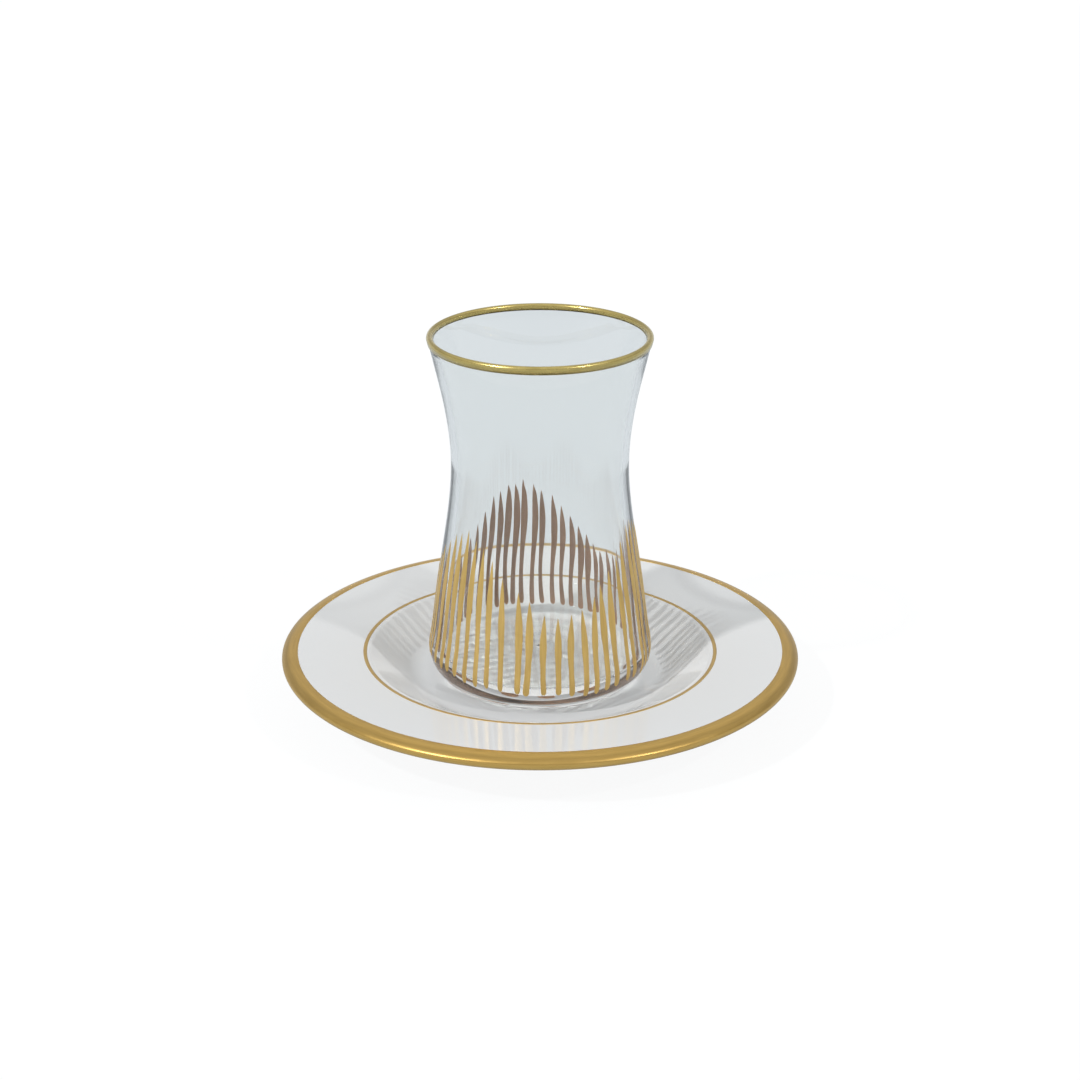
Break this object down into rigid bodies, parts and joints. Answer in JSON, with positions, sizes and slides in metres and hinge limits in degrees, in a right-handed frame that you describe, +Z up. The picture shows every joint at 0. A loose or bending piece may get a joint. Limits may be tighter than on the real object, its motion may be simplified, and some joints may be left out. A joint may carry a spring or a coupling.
{
  "type": "turkish tea glass with saucer",
  "caption": "Empty waisted clear tea glass with a gilded lip and gilded strokes, standing in the well of a white porcelain saucer with a gilded rim.",
  "frame": {"origin": "on the surface it stands on, under the middle of the saucer's foot ring, on the axis of the glass", "axes": "+Z up along the common axis of glass and saucer; the front, at -Y, is the side the picture shows"},
  "size_m": [0.1422, 0.142, 0.1046],
  "materials": {
    "clear_glass": "clear polished glass",
    "gilding": "fired gold, bright on the lip and satin on the rim",
    "porcelain": "white gloss glaze"
  },
  "bodies": {
    "root": {"glass": "clear_glass", "lip_gilding": "gilding", "saucer": "porcelain", "saucer_rim_gilding": "gilding", "saucer_ring_line": "gilding"}
  },
  "joints": []
}
